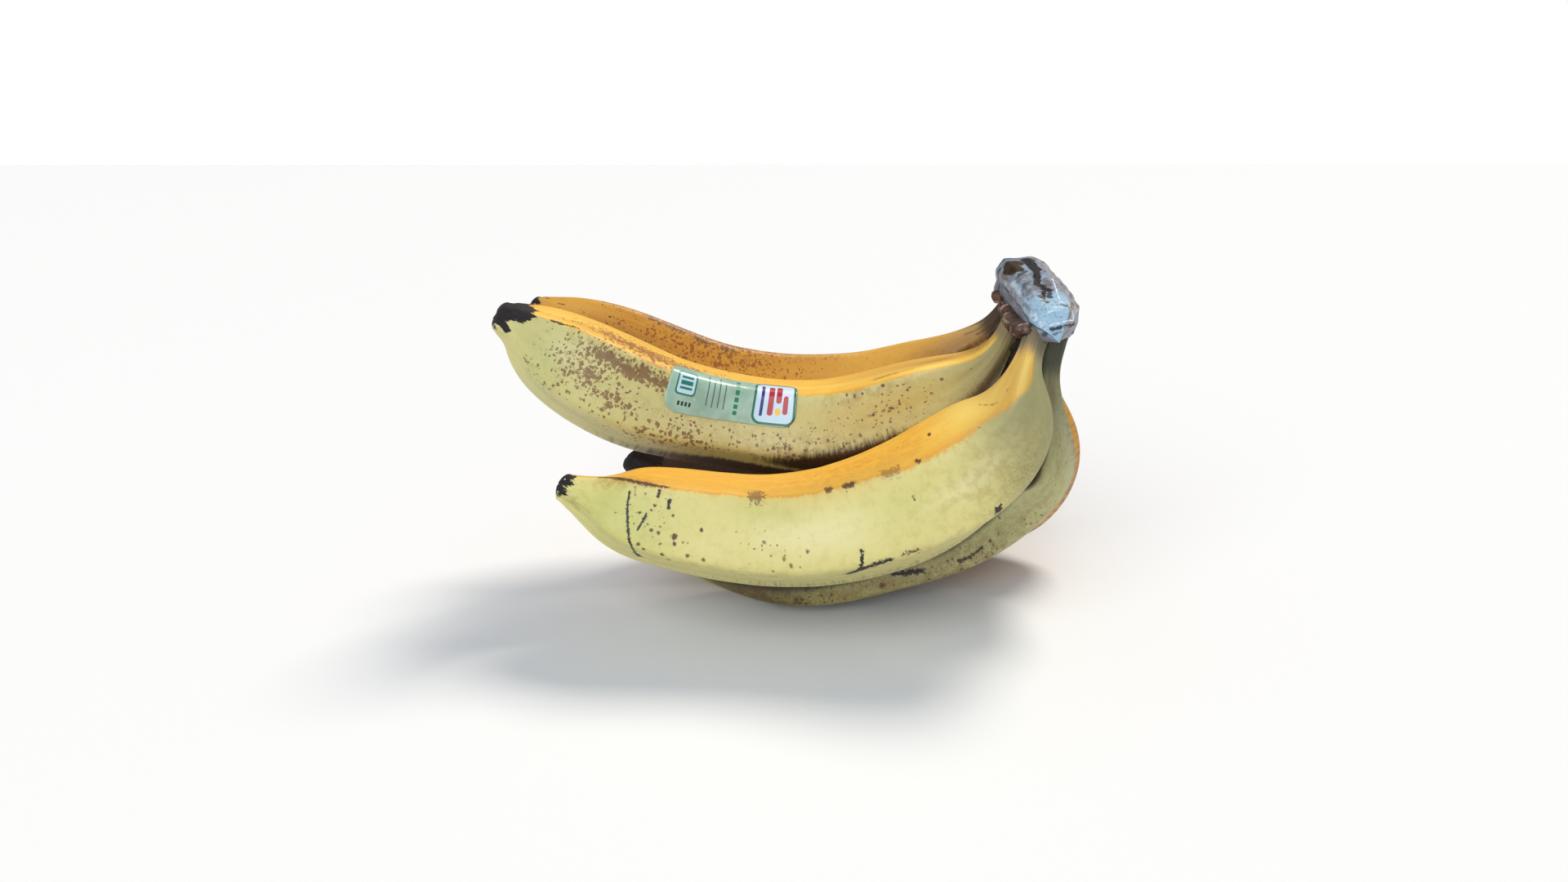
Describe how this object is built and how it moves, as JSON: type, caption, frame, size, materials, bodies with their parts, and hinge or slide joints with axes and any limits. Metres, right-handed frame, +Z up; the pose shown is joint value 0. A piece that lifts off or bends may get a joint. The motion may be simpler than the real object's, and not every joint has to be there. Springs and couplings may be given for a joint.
{
  "type": "hand of bananas",
  "caption": "Hand of ripe bananas joined at a film-wrapped crown, lying on its curved side, with a plain sticker on the middle fruit.",
  "frame": {"origin": "on the table, under the middle of the whole object's box", "axes": "+Z up; +X from the fruit tips towards the crown; +Y from the front fruit towards the rear fruit"},
  "size_m": [0.2072, 0.1179, 0.1174],
  "materials": {
    "peel": "ripe yellow peel with brown freckles, satin",
    "wrap": "clear wrinkled film, glossy",
    "label": "thin printed sticker, semi-gloss"
  },
  "bodies": {
    "root": {"banana_hand": "peel", "crown_film": "wrap", "fruit_label": "label"}
  },
  "joints": []
}
